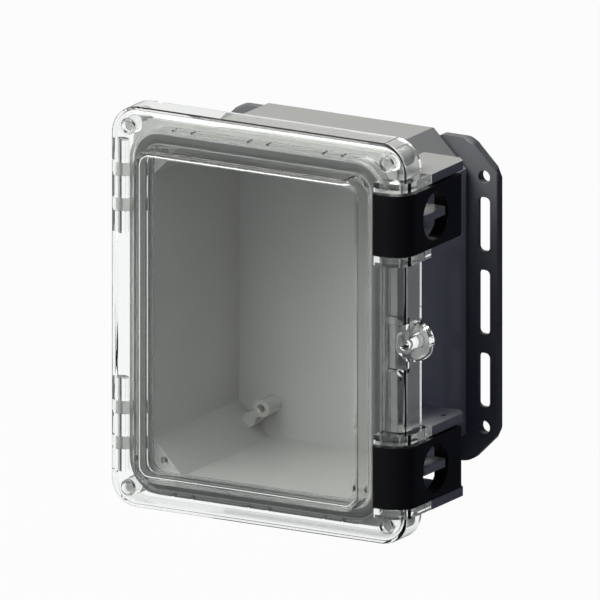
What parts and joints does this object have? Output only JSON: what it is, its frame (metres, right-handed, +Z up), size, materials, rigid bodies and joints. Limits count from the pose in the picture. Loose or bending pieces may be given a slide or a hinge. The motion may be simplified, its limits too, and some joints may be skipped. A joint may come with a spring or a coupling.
{
  "type": "hinged enclosure",
  "caption": "Hinged wall-mount polycarbonate enclosure with a clear raised-window cover, side snap latches, padlock lug and slotted mounting brackets.",
  "frame": {"origin": "centre of the four bracket bolt holes, in the wall plane that the brackets rest on", "axes": "+X towards the latch side, +Y into the wall so that the cover faces -Y, +Z up along the long side"},
  "size_m": [0.2089, 0.1355, 0.2438],
  "materials": {
    "base_plastic": "satin dark grey moulded polycarbonate",
    "bracket_plastic": "satin dark grey moulded plastic",
    "clear_cover": "clear polished polycarbonate",
    "gasket_foam": "poured foam seal",
    "latch_plastic": "satin black moulded plastic",
    "pin_steel": "plain stainless pin",
    "screw_steel": "stainless socket screw",
    "insert_brass": "moulded-in threaded insert"
  },
  "bodies": {
    "base": {"base": "base_plastic", "latch_pin_upper": "pin_steel", "latch_pin_lower": "pin_steel", "hinge_pin_upper": "pin_steel", "hinge_pin_lower": "pin_steel", "mounting_bracket_left": "bracket_plastic", "mounting_bracket_right": "bracket_plastic", "bracket_screw_upper_left": "screw_steel", "bracket_screw_upper_right": "screw_steel", "bracket_screw_lower_left": "screw_steel", "bracket_screw_lower_right": "screw_steel", "panel_insert_upper_left": "insert_brass", "panel_insert_upper_right": "insert_brass", "panel_insert_lower_left": "insert_brass", "panel_insert_lower_right": "insert_brass", "swing_insert_upper_left": "insert_brass", "swing_insert_upper_right": "insert_brass", "swing_insert_lower_left": "insert_brass", "swing_insert_lower_right": "insert_brass"},
    "cover": {"cover": "clear_cover", "cover_gasket": "gasket_foam"},
    "latch_upper": {"latch_upper": "latch_plastic"},
    "latch_lower": {"latch_lower": "latch_plastic"}
  },
  "joints": [
    {"name": "cover_hinge", "type": "hinge", "parent": "base", "child": "cover", "pos_m": [-0.0946, -0.1165, 0], "axis": [0, 0, -1], "range_deg": [0, 165]},
    {"name": "latch_upper_pivot", "type": "hinge", "parent": "base", "child": "latch_upper", "pos_m": [0.1, -0.074, 0.0768], "axis": [0, 0, 1], "range_deg": [0, 100]},
    {"name": "latch_lower_pivot", "type": "hinge", "parent": "base", "child": "latch_lower", "pos_m": [0.1, -0.074, -0.0768], "axis": [0, 0, 1], "range_deg": [0, 100]}
  ]
}
